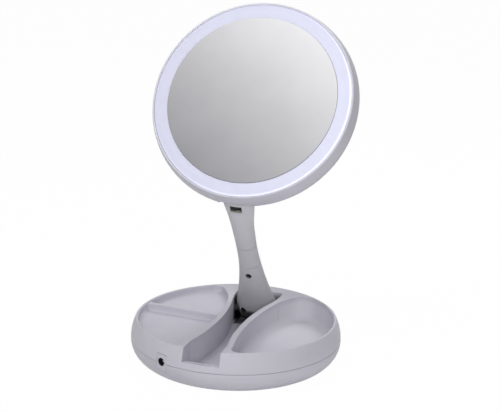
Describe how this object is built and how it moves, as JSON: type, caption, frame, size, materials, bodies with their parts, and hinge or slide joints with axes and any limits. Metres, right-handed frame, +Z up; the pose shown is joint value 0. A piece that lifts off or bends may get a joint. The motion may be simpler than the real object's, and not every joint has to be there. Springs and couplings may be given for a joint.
{
  "type": "led magnifying mirror",
  "caption": "Folding lighted vanity mirror: a round mirror in a milky light ring, tilting on a waisted arm that folds into a tray base.",
  "frame": {"origin": "middle of the base, on the surface that its rubber feet stand on", "axes": "+Z up, the mirror faces -Y, +X to the right of someone looking into it"},
  "size_m": [0.175, 0.177, 0.2868],
  "materials": {
    "shell_grey": "satin moulded pale lilac-grey plastic",
    "mirror_glass": "silvered glass",
    "milky_white": "translucent milky plastic, lit from behind",
    "steel": "bright turned steel",
    "nylon": "natural nylon",
    "rubber": "soft matt rubber",
    "jack_black": "moulded black plastic",
    "board_green": "solder-masked board",
    "board_white": "white solder-masked board",
    "led_white": "phosphor-coated chip",
    "cell_wrap": "plain shrink-wrapped cell",
    "contact": "nickel-plated spring steel",
    "knob_grey": "dark moulded plastic",
    "carrier_white": "white moulded plastic"
  },
  "bodies": {
    "base": {"base_top": "shell_grey", "base_bottom": "shell_grey", "base_feet": "rubber", "base_screws": "steel", "battery_door": "shell_grey", "battery_cells": "cell_wrap", "battery_contacts": "contact", "control_board": "board_green", "jack_plate": "shell_grey", "dc_jack": "jack_black", "base_hinge_pin": "steel", "base_hinge_washers": "nylon"},
    "arm": {"lower_arm_front": "shell_grey", "lower_arm_rear": "shell_grey", "lower_arm_screws": "steel", "swivel_collar": "shell_grey", "swivel_tube": "steel", "upper_arm_front": "shell_grey", "upper_arm_rear": "shell_grey", "switch_body": "jack_black"},
    "switch": {"switch_knob": "knob_grey"},
    "head": {"head_front_shell": "shell_grey", "head_rear_shell": "shell_grey", "head_screws": "steel", "mirror_carrier": "carrier_white", "front_mirror": "mirror_glass", "light_diffuser": "milky_white", "led_board": "board_white", "leds": "led_white", "rear_mirror": "mirror_glass", "head_hinge_pin": "steel", "head_hinge_washers": "nylon"}
  },
  "joints": [
    {"name": "arm_fold", "type": "hinge", "parent": "base", "child": "arm", "pos_m": [0, 0.0575, 0.0235], "axis": [1, 0, 0], "range_deg": [0, 60]},
    {"name": "head_tilt", "type": "hinge", "parent": "arm", "child": "head", "pos_m": [0, 0.00617, 0.1434], "axis": [1, 0, 0], "range_deg": [-119, 0]},
    {"name": "switch_slide", "type": "slide", "parent": "arm", "child": "switch", "axis": [1, 0, 0], "range_m": [0, 0.0052]}
  ],
  "couplings": [
    {"joint": "head_tilt", "follows": "arm_fold", "ratio": -1.9833}
  ]
}
